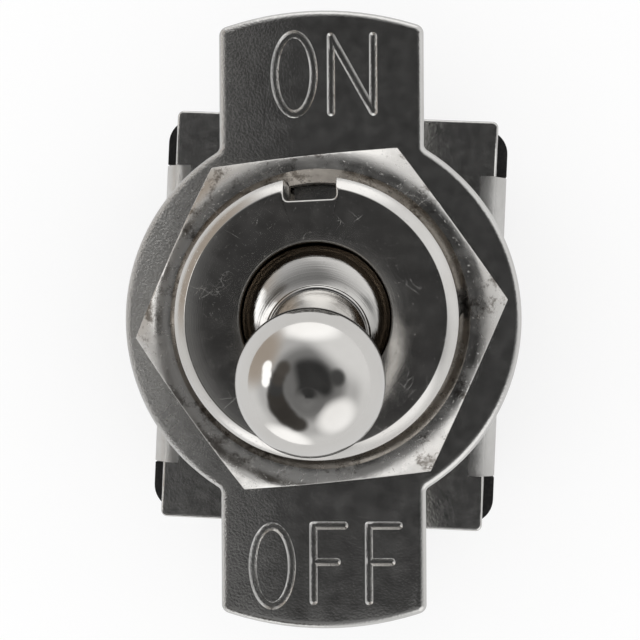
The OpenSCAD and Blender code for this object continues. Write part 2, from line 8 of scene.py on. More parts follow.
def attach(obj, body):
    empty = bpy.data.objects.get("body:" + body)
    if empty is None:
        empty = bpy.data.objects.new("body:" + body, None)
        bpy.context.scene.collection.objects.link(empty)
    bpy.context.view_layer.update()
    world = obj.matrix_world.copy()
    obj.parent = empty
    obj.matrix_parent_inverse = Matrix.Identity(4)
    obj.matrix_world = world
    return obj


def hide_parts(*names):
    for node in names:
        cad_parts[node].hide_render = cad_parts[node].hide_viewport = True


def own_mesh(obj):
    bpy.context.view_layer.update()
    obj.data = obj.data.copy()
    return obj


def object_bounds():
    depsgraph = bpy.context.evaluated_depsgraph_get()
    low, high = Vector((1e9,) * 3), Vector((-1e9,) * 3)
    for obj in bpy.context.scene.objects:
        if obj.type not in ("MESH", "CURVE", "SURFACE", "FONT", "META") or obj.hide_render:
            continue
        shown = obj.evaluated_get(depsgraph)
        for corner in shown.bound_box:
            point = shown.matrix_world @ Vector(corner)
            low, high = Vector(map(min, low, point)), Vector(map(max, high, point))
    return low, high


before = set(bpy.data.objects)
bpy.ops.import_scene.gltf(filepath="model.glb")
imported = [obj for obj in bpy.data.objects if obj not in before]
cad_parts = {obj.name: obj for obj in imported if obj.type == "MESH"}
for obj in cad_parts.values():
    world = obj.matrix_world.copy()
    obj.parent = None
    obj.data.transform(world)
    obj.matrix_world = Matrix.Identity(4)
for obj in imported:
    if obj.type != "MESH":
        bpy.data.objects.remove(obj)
cad_low, cad_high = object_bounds()

# ---------------------------------------------------------------- bushing
# Turned from brass bar, with a 0.79 mm pitch thread, a milled keyway and a round seat for the lever, then
# nickel plated. Its spigot is staked over under the steel frame.

MM = 0.001
THREAD_R, ROOT_R, PITCH = 5.95, 5.5, 0.794
FACE_Z, PIVOT_Z = 11.9, 7.6
SPIGOT_R, BORE_R, POCKET_R, MOUTH_R = 4.8, 4.2, 4.4, 3.15
SEAT_TOP, SEAT_SWING = 3.661, 25.02
STEEL_T = 0.9
KEYWAY_W, KEYWAY_FLOOR = 2.2, 4.92
PIN_R = 0.8
BUSHING_TURN, LEVER_TURN = math.radians(5), math.radians(9)


def turned(start, *moves, steps=144, ring=False):
    """Turns a half profile about Z.

    A move is the next (radius, height), or (radius, height, degrees) to swing round that centre."""
    bm = bmesh.new()
    first = tip = bm.verts.new((start[0] * MM, 0, start[1] * MM))
    for move in moves:
        if len(move) == 2:
            tip = bmesh.ops.extrude_vert_indiv(bm, verts=[tip])["verts"][0]
            tip.co = (move[0] * MM, 0, move[1] * MM)
        else:
            centre = (move[0] * MM, 0, move[1] * MM)
            swung = bmesh.ops.spin(bm, geom=[tip], cent=centre, axis=(0, 1, 0), angle=math.radians(move[2]),
                                   steps=max(3, round(abs(move[2]) / 4)))
            tip = [v for v in swung["geom_last"] if isinstance(v, bmesh.types.BMVert)][0]
    if ring:
        bm.edges.new((tip, first))
    bmesh.ops.spin(bm, geom=bm.verts[:] + bm.edges[:], cent=(0, 0, 0), axis=(0, 0, 1), angle=math.tau,
                   steps=steps, use_merge=True)
    bmesh.ops.remove_doubles(bm, verts=bm.verts[:], dist=1e-7)
    bmesh.ops.recalc_face_normals(bm, faces=bm.faces[:])
    return bm


def block(size, centre, turn=None):
    """A rectangular blank of that size round centre, in mm."""
    bm = bmesh.new()
    bmesh.ops.create_cube(bm, size=MM)
    bmesh.ops.scale(bm, verts=bm.verts[:], vec=size)
    if turn:
        bmesh.ops.rotate(bm, verts=bm.verts[:], cent=(0, 0, 0), matrix=turn)
    bmesh.ops.translate(bm, verts=bm.verts[:], vec=Vector(centre) * MM)
    return bm


def bar(radius, length, centre, along="Z", sides=48):
    """A round bar or drill of that radius and length round centre, in mm."""
    bm = bmesh.new()
    bmesh.ops.create_cone(bm, cap_ends=True, segments=sides, radius1=radius * MM, radius2=radius * MM,
                          depth=length * MM)
    if along != "Z":
        bmesh.ops.rotate(bm, verts=bm.verts[:], cent=(0, 0, 0),
                         matrix=Matrix.Rotation(math.pi / 2, 3, "Y" if along == "X" else "X"))
    bmesh.ops.translate(bm, verts=bm.verts[:], vec=Vector(centre) * MM)
    return bm


def carve(bm, tool, operation="DIFFERENCE"):
    """Cuts the tool out of bm, or joins it on. Both are used up and the result is returned."""
    pair = []
    for blank in (bm, tool):
        mesh = bpy.data.meshes.new("blank")
        blank.to_mesh(mesh)
        blank.free()
        pair.append(bpy.data.objects.new("blank", mesh))
        bpy.context.scene.collection.objects.link(pair[-1])
    cut = pair[0].modifiers.new("cut", "BOOLEAN")
    cut.object = pair[1]
    cut.operation = operation
    cut.solver = "EXACT"
    done = bmesh.new()
    done.from_object(pair[0], bpy.context.evaluated_depsgraph_get())
    for obj in pair:
        bpy.data.objects.remove(obj)
    return done


def soften(bm, width, segments=2, least=25, where=None, clamp=True):
    """Rounds the edges that turn by more than least degrees, or only those of them that pass the test."""
    sharp = [e for e in bm.edges if len(e.link_faces) == 2 and e.calc_face_angle(0) > math.radians(least)
             and (where is None or where(e))]
    bmesh.ops.bevel(bm, geom=sharp, offset=width * MM, offset_type="OFFSET", segments=segments,
                    profile=0.5, affect="EDGES", material=-1, clamp_overlap=clamp)
    return bm


def middle(edge):
    """Middle of an edge, in mm."""
    return (edge.verts[0].co + edge.verts[1].co) / 2 / MM


def finished(name, bm, body, finish, slot, *nodes, place=None, even=True, sharp=40):
    """Makes the piece's object, rides it on its body and lets it stand for its nodes.

    Faces that meet at less than sharp degrees are shaded as one, evenly by their size."""
    if place:
        bm.transform(place)
    mesh = bpy.data.meshes.new(name)
    bm.to_mesh(mesh)
    bm.free()
    mesh.materials.append(finish)
    mesh.shade_smooth()
    mesh.set_sharp_from_angle(angle=math.radians(sharp))
    obj = bpy.data.objects.new(name, mesh)
    bpy.context.scene.collection.objects.link(obj)
    if even:
        obj.modifiers.new("even", "WEIGHTED_NORMAL").keep_sharp = True
    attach(obj, body)
    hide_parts(*nodes)
    return obj


def add(tree, kind, wires=None, **settings):
    """Adds a node, sets it, fills or wires its inputs, and returns its first output, if it has one."""
    made = tree.nodes.new(kind)
    for key, value in settings.items():
        setattr(made, key, value)
    for key, value in (wires or {}).items():
        if isinstance(value, bpy.types.NodeSocket):
            tree.links.new(value, made.inputs[key])
        else:
            made.inputs[key].default_value = value
    return made.outputs[0] if made.outputs else None


def material(name, **shader):
    """A material with its shader's plain values set on the shader's own sockets."""
    made = bpy.data.materials.new(name)
    made.use_nodes = True
    tree = made.node_tree
    skin = tree.nodes["Principled BSDF"]
    for key, value in shader.items():
        skin.inputs[key.replace("_", " ")].default_value = value
    return made, tree, skin


def object_place(tree, location=(0, 0, 0), rotation=(0, 0, 0)):
    """Object coordinates, moved so that a pattern is centred and turned as its piece is."""
    coords = tree.nodes.new("ShaderNodeTexCoord").outputs["Object"]
    return add(tree, "ShaderNodeMapping", {"Vector": coords, "Location": location, "Rotation": rotation},
               vector_type="TEXTURE")


def mottle(tree, where, size, detail=4.0, rough=0.55, stretch=None):
    """Soft noise whose lumps are about size mm across."""
    if stretch:
        where = add(tree, "ShaderNodeVectorMath", {0: where, 1: stretch}, operation="MULTIPLY")
    return add(tree, "ShaderNodeTexNoise", {"Vector": where, "Scale": 1 / (size * MM), "Detail": detail,
                                            "Roughness": rough})


def spread(tree, value, low, high, start=0.3, end=0.7):
    """Maps start..end, by default a noise's middle range, to low..high."""
    return add(tree, "ShaderNodeMapRange", {"Value": value, "From Min": start, "From Max": end,
                                            "To Min": low, "To Max": high})


def maths(tree, operation, *values):
    """One step of arithmetic on sockets and plain numbers."""
    return add(tree, "ShaderNodeMath", dict(enumerate(values)), operation=operation)


def mix(tree, value, first, second):
    """Mixes two colours by value. Each is a socket or (red, green, blue)."""
    mixed = tree.nodes.new("ShaderNodeMix")
    mixed.data_type = "RGBA"
    tree.links.new(value, mixed.inputs["Factor"])
    for socket, colour in zip((mixed.inputs[6], mixed.inputs[7]), (first, second)):
        if isinstance(colour, bpy.types.NodeSocket):
            tree.links.new(colour, socket)
        else:
            socket.default_value = (*colour, 1)
    return mixed.outputs[2]


def tint(tree, skin, pattern, bright, dull, start=0.3, end=0.7):
    """Lets the piece's colour drift from bright to dull, as the pattern says."""
    share = spread(tree, pattern, 0, 1, start, end)
    tree.links.new(mix(tree, share, bright, dull), skin.inputs["Base Color"])


def gloss(tree, skin, pattern, low, high):
    """Lets the piece's roughness drift from low to high, as the pattern says."""
    tree.links.new(spread(tree, pattern, low, high), skin.inputs["Roughness"])


def bump(tree, height, distance, strength=1.0, below=None):
    """Turns a height of 0..1 into a relief of that many mm, on top of the bump below."""
    wires = {"Height": height, "Distance": distance * MM, "Strength": strength}
    if below:
        wires["Normal"] = below
    return add(tree, "ShaderNodeBump", wires)


def circles(tree, where, size):
    """Fine broken rings round Z, as a turning tool leaves them, about size mm apart."""
    flat = add(tree, "ShaderNodeVectorMath", {0: where, 1: (1, 1, 0)}, operation="MULTIPLY")
    axes = add(tree, "ShaderNodeSeparateXYZ", {"Vector": flat}).node.outputs
    radius = add(tree, "ShaderNodeVectorMath", {0: flat}, operation="LENGTH").node.outputs["Value"]
    across = maths(tree, "MULTIPLY", radius, 1 / (size * MM))
    bearing = maths(tree, "ARCTAN2", axes["Y"], axes["X"])
    arcs = add(tree, "ShaderNodeCombineXYZ", {"X": across, "Y": bearing})
    return add(tree, "ShaderNodeTexNoise", {"Vector": arcs, "Scale": 1.0, "Detail": 3.0})


def hairs(tree, where, size, stretch, width=0.006):
    """Hairline scratches: the thin level lines of a stretched noise, broken up by a second one."""
    level = mottle(tree, where, size, 1.0, stretch=stretch)
    line = maths(tree, "COMPARE", level, 0.5, width)
    shown = spread(tree, mottle(tree, where, 1.1, 1.0), 0, 1, 0.58, 0.66)
    return maths(tree, "MULTIPLY", line, shown)


def nickel(name, location=(0, 0, 0), rotation=(0, 0, 0), rings=0.0, ripple=0.0, nicks=0.0, rough=(0.1, 0.2),
           smudge=0.8, grain=0.0004, stain=0.0, top=100.0):
    """Nickel plate: cloudy tone, uneven polish, turning rings, plating ripple, hairlines and nicks.

    Above the height top, in mm, it is polished clean of rings and stains."""
    made, tree, skin = material(name, Metallic=1.0)
    where = object_place(tree, location, rotation)
    height = add(tree, "ShaderNodeSeparateXYZ", {"Vector": where}).node.outputs["Z"]
    below_top = maths(tree, "LESS_THAN", height, top * MM)
    clouds = spread(tree, mottle(tree, where, 3.5), 0, 1)
    tone = mix(tree, clouds, (0.80, 0.785, 0.76), (0.70, 0.68, 0.65))
    if stain:
        spots = spread(tree, mottle(tree, where, 1.7, 7.0, 0.75), 0, stain, 0.55, 0.62)
        tone = mix(tree, maths(tree, "MULTIPLY", spots, below_top), tone, (0.18, 0.16, 0.14))
    tree.links.new(tone, skin.inputs["Base Color"])
    gloss(tree, skin, mottle(tree, where, smudge, 5.0), *rough)
    normal = bump(tree, mottle(tree, where, 0.05, 3.0), grain)
    if ripple:
        normal = bump(tree, mottle(tree, where, 0.22, 3.0), ripple, below=normal)
    if rings:
        turning = maths(tree, "MULTIPLY", circles(tree, where, 0.03), below_top)
        normal = bump(tree, turning, rings, below=normal)
    if nicks:
        aslant = object_place(tree, location, (0.3, 0.2, 0.9))
        for stretch in ((1.0, 0.25, 1.0), (0.3, 1.0, 1.0)):
            normal = bump(tree, hairs(tree, aslant, 0.7, stretch), nicks, below=normal)
        pits = mottle(tree, where, 0.14, 2.0)
        normal = bump(tree, spread(tree, pits, 1, 0, 0.66, 0.74), nicks * 2, below=normal)
    tree.links.new(normal, skin.inputs["Normal"])
    return made, tree, skin


def threads(low, turns, steps=96):
    """A thread's ridge, swept round the bushing from height low, its foot sunk into the core."""
    bm = bmesh.new()
    half = [(THREAD_R, 0.07), (ROOT_R, 0.33), (ROOT_R - 0.12, 0.37)]
    section = [(r, -z) for r, z in reversed(half)] + half
    loop = [bm.verts.new((r * MM, 0, (low + z) * MM)) for r, z in section]
    edges = [bm.edges.new((a, b)) for a, b in zip(loop, loop[1:] + loop[:1])]
    bmesh.ops.spin(bm, geom=loop + edges, cent=(0, 0, 0), axis=(0, 0, 1), dvec=(0, 0, PITCH * MM / steps),
                   angle=math.tau * turns, steps=steps * turns)
    bmesh.ops.holes_fill(bm, edges=[e for e in bm.edges if e.is_boundary], sides=0)
    bmesh.ops.recalc_face_normals(bm, faces=bm.faces[:])
    return bm


bushing = turned(
    # the staked spigot, the shoulder on the frame and the core under the thread
    (BORE_R, -1.5), (5.0, -1.5), (5.5, -STEEL_T), (SPIGOT_R, -STEEL_T), (SPIGOT_R, 0.0), (5.75, 0.0),
    (5.75, 0.3), (ROOT_R, 0.5), (ROOT_R, 10.8), (THREAD_R, 11.05), (THREAD_R, 11.4),
    # the chamfered face, the mouth and the round seat of the lever's cap
    (5.45, FACE_Z), (MOUTH_R + 0.05, FACE_Z), (MOUTH_R, FACE_Z - 0.1), (MOUTH_R, PIVOT_Z + SEAT_TOP),
    (0, PIVOT_Z, SEAT_SWING), (POCKET_R, 8.6), (BORE_R, 8.7), steps=192, ring=True)
bushing = carve(bushing, threads(0.7, 13), "UNION")
keyway = block((KEYWAY_W, 3.0, 14.0), (0, KEYWAY_FLOOR + 1.5, 6.9))
soften(keyway, 0.18, 3, where=lambda e: middle(e).y < 5 and abs(middle(e).x) > 1
       and abs(middle(e).z - 6.9) < 1)
bushing = carve(bushing, keyway)
pin_hole = bar(PIN_R + 0.01, 13, (0, 0, PIVOT_Z), "X")
pin_hole.transform(Matrix.Rotation(LEVER_TURN - BUSHING_TURN, 4, "Z"))
bushing = carve(bushing, pin_hole)
# the keyway's upper edges, then the face's outer edges, then the lip of the mouth
soften(bushing, 0.1, 3, 30, lambda e: middle(e).z > 11.88 and middle(e).y > 4.8
       and abs(middle(e).x) < 1.2, False)
soften(bushing, 0.05, 2, 30, lambda e: middle(e).z > 11.3 and middle(e).xy.length > 5.2, False)
soften(bushing, 0.04, 2, 30, lambda e: middle(e).z > 11.85 and middle(e).xy.length < 4, False)
bushing_nickel, tree, skin = nickel("bushing_nickel", rings=0.002, nicks=0.002, grain=0.0009,
                                    rough=(0.08, 0.18))
# painted shade: the bore's wall below the lip is darkened to brown, and the thread half as much, for the
# shade in these recesses
where = object_place(tree)
flat = add(tree, "ShaderNodeVectorMath", {0: where, 1: (1, 1, 0)}, operation="MULTIPLY")
radius = add(tree, "ShaderNodeVectorMath", {0: flat}, operation="LENGTH").node.outputs["Value"]
height = add(tree, "ShaderNodeSeparateXYZ", {"Vector": where}).node.outputs["Z"]
bore_side = maths(tree, "LESS_THAN", radius, (POCKET_R + 0.2) * MM)
below_lip = maths(tree, "LESS_THAN", height, (FACE_Z - 0.04) * MM)
thread_side = maths(tree, "LESS_THAN", height, 10.6 * MM)
painted_shade = maths(tree, "MULTIPLY_ADD", thread_side, 0.5, maths(tree, "MULTIPLY", bore_side, below_lip))
painted_shade = maths(tree, "MINIMUM", painted_shade, 1.0)
plating = skin.inputs["Base Color"].links[0].from_socket
tree.links.new(mix(tree, painted_shade, plating, (0.22, 0.175, 0.13)), skin.inputs["Base Color"])
finished("bushing_body", bushing, "base", bushing_nickel, "nickel_bright", "bushing",
         place=Matrix.Rotation(BUSHING_TURN, 4, "Z"))

# -------------------------------------------------------------- pivot pin
# Short hardened steel pin, drawn, cut off and pressed through the bushing's cross hole. Its ends lie below
# the thread, and the lever's hub turns on its middle.

pin = bar(PIN_R, 10.6, (0, 0, PIVOT_Z), "X")
soften(pin, 0.18, 2, 60)
pin_steel, tree, skin = material("pin_steel", Metallic=1.0)
where = object_place(tree)
tint(tree, skin, mottle(tree, where, 0.8), (0.50, 0.50, 0.50), (0.38, 0.37, 0.36))
gloss(tree, skin, mottle(tree, where, 0.3), 0.22, 0.4)
drawn = mottle(tree, where, 0.05, 3.0, stretch=(1, 0.1, 0.1))
tree.links.new(bump(tree, drawn, 0.001), skin.inputs["Normal"])
finished("cross_pin", pin, "base", pin_steel, "pin_steel", "pivot_pin",
         place=Matrix.Rotation(LEVER_TURN, 4, "Z"))

# ------------------------------------------------------------------ lever
# Ball-ended bat turned in one piece from brass, polished and nickel plated, with a grooved collar, a round
# hub on the pin and a tail bored for the spring. It rests leaning to OFF.

LEVER_REST = math.radians(11)
LEVER_PLACE = (Matrix.Translation((0, 0, PIVOT_Z * MM)) @ Matrix.Rotation(LEVER_TURN, 4, "Z")
               @ Matrix.Rotation(LEVER_REST, 4, "X"))
BALL_R, BALL_H, NECK_R, HUB_R = 2.765, 12.72, 1.75, 2.7
TAIL_R, TAIL_BORE = 2.0, 1.3
ball_foot = math.degrees(math.asin(NECK_R / BALL_R))
ball_pole = math.degrees(math.acos(1 - 0.035 / BALL_R))
hub_low = math.degrees(math.acos(TAIL_R / HUB_R))
HUB_HIGH, CAP_SWING = 39.9, 25.65
lever = turned(
    # the tail, bored blind for the spring, and the round hub on the pin
    (0, -1.3), (TAIL_BORE, -1.8), (TAIL_BORE, -8.4), (1.4, -8.5), (1.7, -8.5), (TAIL_R, -8.2),
    (TAIL_R, -HUB_R * math.sin(math.radians(hub_low))), (0, 0, -hub_low - HUB_HIGH),
    # the cap that turns in the bushing's seat, and the groove over it
    (3.82, 2.51), (3.82, 2.873), (0, 0, -CAP_SWING), (2.2, 4.25), (2.13, 4.33), (2.03, 4.36), (2.03, 4.42),
    # the neck, the ball and the small nib that parting off leaves on it
    (2.07, 4.46), (1.98, 4.75), (1.88, 5.2), (1.8, 5.8), (NECK_R, 6.6),
    (NECK_R, BALL_H - BALL_R * math.cos(math.radians(ball_foot))),
    (0, BALL_H, -180 + ball_foot + ball_pole), (0.2, 15.452), (0.16, 15.466), (0, 15.468), steps=192)
lever = carve(lever, bar(PIN_R + 0.05, 8, (0, 0, 0), "X"))
soften(lever, 0.03, 2, 30, lambda e: middle(e).z > 3.5, False)
lever_nickel, tree, skin = nickel("lever_nickel", rings=0.003, stain=0.35, top=6.0, rough=(0.06, 0.12),
                                  location=LEVER_PLACE.to_translation(), rotation=LEVER_PLACE.to_euler())
finished("bat_lever", lever, "lever", lever_nickel, "nickel_bright", "lever", place=LEVER_PLACE)

# ---------------------------------------------------------------- plunger
# Moulded in ivory nylon: a stem that slides in the lever's bore against the spring, a shoulder, and a round
# tip that rubs on the contact arm.

STEM_R, SHOULDER_R = 1.25, 1.7
plunger = turned((0, -12.2), (0, -10.95, -78), (SHOULDER_R, -9.92), (SHOULDER_R, -9.2), (1.62, -9.12),
                 (STEM_R, -9.12), (STEM_R, -5.15), (1.1, -5.0), (0, -5.0), steps=96)
soften(plunger, 0.08, 3, 30)
nylon, tree, skin = material("ivory_nylon", Subsurface_Weight=0.15, Subsurface_Scale=0.0006)
where = object_place(tree)
tint(tree, skin, mottle(tree, where, 1.2), (0.80, 0.76, 0.64), (0.70, 0.65, 0.52))
gloss(tree, skin, mottle(tree, where, 0.4), 0.38, 0.52)
tree.links.new(bump(tree, mottle(tree, where, 0.12), 0.003), skin.inputs["Normal"])
finished("nylon_plunger", plunger, "plunger", nylon, "ivory_nylon", "plunger", place=LEVER_PLACE)

# ----------------------------------------------------------------- spring
# Music wire wound on a mandrel, with one closed turn at each end. It sits in the lever's bore and pushes the
# plunger out of it.

WIRE_R, COIL_R = 0.16, 1.08
COIL_LOW, COIL_TOP = -4.98, -1.85
CLOSED_PITCH, OPEN_TURNS, COIL_STEPS = 0.34, 4, 32
open_pitch = (COIL_TOP - COIL_LOW - 2 * WIRE_R - 2 * CLOSED_PITCH) / OPEN_TURNS
spring = bmesh.new()
section = bmesh.ops.create_circle(spring, segments=12, radius=WIRE_R * MM)["verts"]
bmesh.ops.rotate(spring, verts=section, cent=(0, 0, 0), matrix=Matrix.Rotation(math.pi / 2, 3, "X"))
bmesh.ops.translate(spring, verts=section, vec=(COIL_R * MM, 0, (COIL_LOW + WIRE_R) * MM))
last = section + spring.edges[:]
for turns, pitch in ((1, CLOSED_PITCH), (OPEN_TURNS, open_pitch), (1, CLOSED_PITCH)):
    wound = bmesh.ops.spin(spring, geom=last, cent=(0, 0, 0), axis=(0, 0, 1), angle=math.tau * turns,
                           dvec=(0, 0, pitch * MM / COIL_STEPS), steps=COIL_STEPS * turns)
    last = wound["geom_last"]
bmesh.ops.holes_fill(spring, edges=[e for e in spring.edges if e.is_boundary], sides=0)
bmesh.ops.recalc_face_normals(spring, faces=spring.faces[:])
wire, tree, skin = material("spring_wire", Metallic=1.0)
where = object_place(tree)
tint(tree, skin, mottle(tree, where, 0.6), (0.46, 0.46, 0.47), (0.34, 0.33, 0.33))
gloss(tree, skin, mottle(tree, where, 0.2), 0.25, 0.38)
tree.links.new(bump(tree, mottle(tree, where, 0.04), 0.001), skin.inputs["Normal"])
coil = finished("wire_spring", spring, "lever", wire, "spring_wire", "spring", place=LEVER_PLACE, even=False)
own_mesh(coil)

# ------------------------------------------------------------------ frame
# Pressed from 0.9 mm sheet steel and zinc plated. Its two legs are bent down along the case's sides, and four
# tabs are folded in under the case to hold the switch together.

LEG_W, BEND_X, BEND_R = 14.5, 6.95, 1.4


def from_node(name, width, segments=3, least=25):
    """A merged copy of a node's own shape, with its edges rounded as the real piece's are."""
    bm = bmesh.new()
    bm.from_mesh(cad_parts[name].data)
    bmesh.ops.remove_doubles(bm, verts=bm.verts[:], dist=2e-7)
    bmesh.ops.dissolve_limit(bm, angle_limit=math.radians(0.5), verts=bm.verts[:], edges=bm.edges[:])
    return soften(bm, width, segments, least) if width else bm


shell = from_node("frame", 0)
for side in (-1, 1):
    corner = block((1.6, LEG_W, BEND_R + 0.05), (side * (BEND_X + 0.85), 0, (0.05 - BEND_R) / 2))
    round_bend = bar(BEND_R + 0.003, LEG_W + 1.5, (side * BEND_X, 0, -BEND_R), "Y", sides=96)
    shell = carve(shell, carve(corner, round_bend))
# the top's rim, but for the steps beside each bend, then the legs and tabs
soften(shell, 0.16, 3, 60, lambda e: middle(e).z > -0.02 and middle(e).xy.length > 7
       and abs(abs(middle(e).y) - LEG_W / 2) > 0.02, False)
soften(shell, 0.1, 2, 60, lambda e: middle(e).z < -0.2)
shell_steel, tree, skin = material("frame_steel", Metallic=1.0)
where = object_place(tree)
tint(tree, skin, mottle(tree, where, 2.2), (0.80, 0.79, 0.77), (0.66, 0.65, 0.63))
spot = add(tree, "ShaderNodeSeparateXYZ", {"Vector": where}).node.outputs
# the press leaves the bends and legs duller than the flat top
past_bend = spread(tree, maths(tree, "ABSOLUTE", spot["X"]), 0.0, 0.2, BEND_X * MM, (BEND_X + 0.2) * MM)
on_leg = maths(tree, "LESS_THAN", maths(tree, "ABSOLUTE", spot["Y"]), LEG_W / 2 * MM)
polish = spread(tree, mottle(tree, where, 0.5), 0.12, 0.24)
tree.links.new(maths(tree, "MULTIPLY_ADD", past_bend, on_leg, polish), skin.inputs["Roughness"])
grain = bump(tree, mottle(tree, where, 0.14, 4.0), 0.014)
grain = bump(tree, mottle(tree, where, 0.5, 2.0, stretch=(1, 0.06, 1)), 0.003, below=grain)
tree.links.new(grain, skin.inputs["Normal"])
finished("steel_frame", shell, "base", shell_steel, "frame_steel", "frame")

# ------------------------------------------------------- insulating sheet
# Punched from 0.4 mm brown vulcanised fibre. It is clamped between the steel frame and the open case, and
# keeps the live parts from the metal.

fibre, tree, skin = material("brown_fibre")
where = object_place(tree)
flecks = mottle(tree, where, 0.35, 6.0, 0.7, stretch=(1, 0.35, 1))
tint(tree, skin, flecks, (0.23, 0.115, 0.06), (0.13, 0.06, 0.032))
gloss(tree, skin, mottle(tree, where, 0.3), 0.55, 0.8)
tree.links.new(bump(tree, flecks, 0.012), skin.inputs["Normal"])
finished("fibre_sheet", from_node("insulating_sheet", 0.05, 2, 40), "base", fibre, "brown_fibre",
         "insulating_sheet")

# ------------------------------------------------------------------- case
# Compression moulded in black phenolic, which leaves a faint speckle and slightly rounded edges. The frame's
# legs and tabs hold it.

phenolic, tree, skin = material("black_phenolic", Specular_IOR_Level=0.5)
where = object_place(tree)
speckle = mottle(tree, where, 0.12, 5.0, 0.7)
tint(tree, skin, speckle, (0.012, 0.012, 0.013), (0.04, 0.036, 0.032), 0.45, 0.75)
gloss(tree, skin, mottle(tree, where, 0.9), 0.28, 0.45)
tree.links.new(bump(tree, mottle(tree, where, 0.25, 4.0), 0.006), skin.inputs["Normal"])
finished("phenolic_case", from_node("case", 0.16, 3, 40), "base", phenolic, "black_phenolic", "case")

# ------------------------------------------------------------------- nuts
# Hexagon nuts cut from brass bar, chamfered on both faces, tapped and nickel plated. One sits on each side of
# the washer and plate, so that the switch is clamped at the depth that the panel needs.

NUT_FLATS, NUT_T = 14.29, 2.0
NUT_FACE_R, CHAMFER, CHAMFER_SWING = 6.5, 36, 1.7
NUT_BORE_R, SINK_R, SINK_DEPTH = 5.99, 6.66, 0.45
REAR_NUT_LOW, TOP_NUT_LOW = 2.8, 6.4


def hexagon_nut(low, degrees):
    """A nut whose lower face is at height low, turned by that angle."""
    tilt = math.radians(CHAMFER)
    corner_r = NUT_FLATS / 2 / math.cos(math.radians(30))
    cone_r = NUT_FACE_R + CHAMFER_SWING * math.sin(tilt)
    drop = CHAMFER_SWING * (1 - math.cos(tilt))
    widest = cone_r + (NUT_T / 2 - drop) / math.tan(tilt)
    bm = bar(corner_r, NUT_T, (0, 0, NUT_T / 2), sides=6)
    bmesh.ops.rotate(bm, verts=bm.verts[:], cent=(0, 0, 0), matrix=Matrix.Rotation(math.radians(30), 3, "Z"))
    bm = carve(bm, turned((0, 0), (NUT_FACE_R, 0), (NUT_FACE_R, CHAMFER_SWING, -CHAMFER), (widest, NUT_T / 2),
                          (cone_r, NUT_T - drop), (NUT_FACE_R, NUT_T - CHAMFER_SWING, -CHAMFER), (0, NUT_T),
                          steps=192), "INTERSECT")
    bm = carve(bm, turned((0, -0.1), (SINK_R, -0.1), (NUT_BORE_R, SINK_DEPTH),
                          (NUT_BORE_R, NUT_T - SINK_DEPTH), (SINK_R, NUT_T + 0.1), (0, NUT_T + 0.1),
                          steps=192))
    # the two threads that a nut of this height holds
    grooves = bmesh.new()
    for z in (0.6, 0.6 + PITCH):
        ring = turned((5.9, z - 0.2), (6.18, z), (5.9, z + 0.2), steps=192, ring=True)
        scrap = bpy.data.meshes.new("groove")
        ring.to_mesh(scrap)
        ring.free()
        grooves.from_mesh(scrap)
    bm = carve(bm, grooves)
    # slivers at the rim are merged first, so that no face folds over when its edge is rounded
    rim = [v for v in bm.verts if v.co.xy.length > 6.9 * MM]
    bmesh.ops.remove_doubles(bm, verts=rim, dist=0.02 * MM)
    soften(bm, 0.03, 2, 25, lambda e: middle(e).xy.length > 6.95, False)
    bm.transform(Matrix.Translation((0, 0, low * MM)) @ Matrix.Rotation(math.radians(degrees), 4, "Z"))
    return bm


nut_nickel, tree, skin = nickel("nut_nickel", ripple=0.004, nicks=0.004, grain=0.002, rough=(0.1, 0.42),
                                smudge=1.3, stain=0.85)
finished("rear_nut", hexagon_nut(REAR_NUT_LOW, 21), "base", nut_nickel, "nickel_bright", "back_nut")
finished("top_nut", hexagon_nut(TOP_NUT_LOW, 8.3), "base", nut_nickel, "nickel_bright", "front_nut")

# ------------------------------------------------------------ lock washer
# Stamped from spring steel and zinc plated. It lies on the rear nut, under the plate, and each of its twelve
# inner teeth is twisted so that it bites.

WASHER_R, WASHER_HOLE_R, TEETH = 8.1, 7.0, 12
WASHER_LOW, WASHER_TOP = 4.8, 5.5
washer = turned((WASHER_HOLE_R, WASHER_LOW), (WASHER_R, WASHER_LOW), (WASHER_R, WASHER_TOP),
                (WASHER_HOLE_R, WASHER_TOP), steps=144, ring=True)
for tooth in range(TEETH):
    bearing = Matrix.Rotation(math.radians(tooth * 360 / TEETH + 4), 3, "Z")
    twist = Matrix.Rotation(math.radians(10), 3, "X")
    blank = block((1.2, 1.5, 0.34), bearing @ Vector((6.65, 0, 0)) + Vector((0, 0, 5.15)), bearing @ twist)
    washer = carve(washer, blank, "UNION")
soften(washer, 0.04, 2, 40)
zinc, tree, skin = material("washer_zinc", Metallic=1.0)
where = object_place(tree)
tint(tree, skin, mottle(tree, where, 1.5), (0.62, 0.63, 0.65), (0.46, 0.46, 0.47))
gloss(tree, skin, mottle(tree, where, 0.5), 0.28, 0.45)
tree.links.new(bump(tree, mottle(tree, where, 0.12, 4.0), 0.003), skin.inputs["Normal"])
finished("tooth_washer", washer, "base", zinc, "washer_steel", "lock_washer")

# -------------------------------------------------------- indicator plate
# Blanked from 0.9 mm sheet, so its upper edge is drawn over, with ON and OFF struck into its two ends. Nickel
# plated over the sheet's grain. A small key in its hole sits in the bushing's keyway.

PLATE_TOP, PLATE_MID, PLATE_T = 6.4, 5.95, 0.9
PLATE_HOLE_R = 6.05
END_W, END_R, MID_R = 9.2, 13.87, 8.9
PLATE_TURN = math.radians(2.7)
STROKE, STROKE_DEPTH = 0.36, 0.1


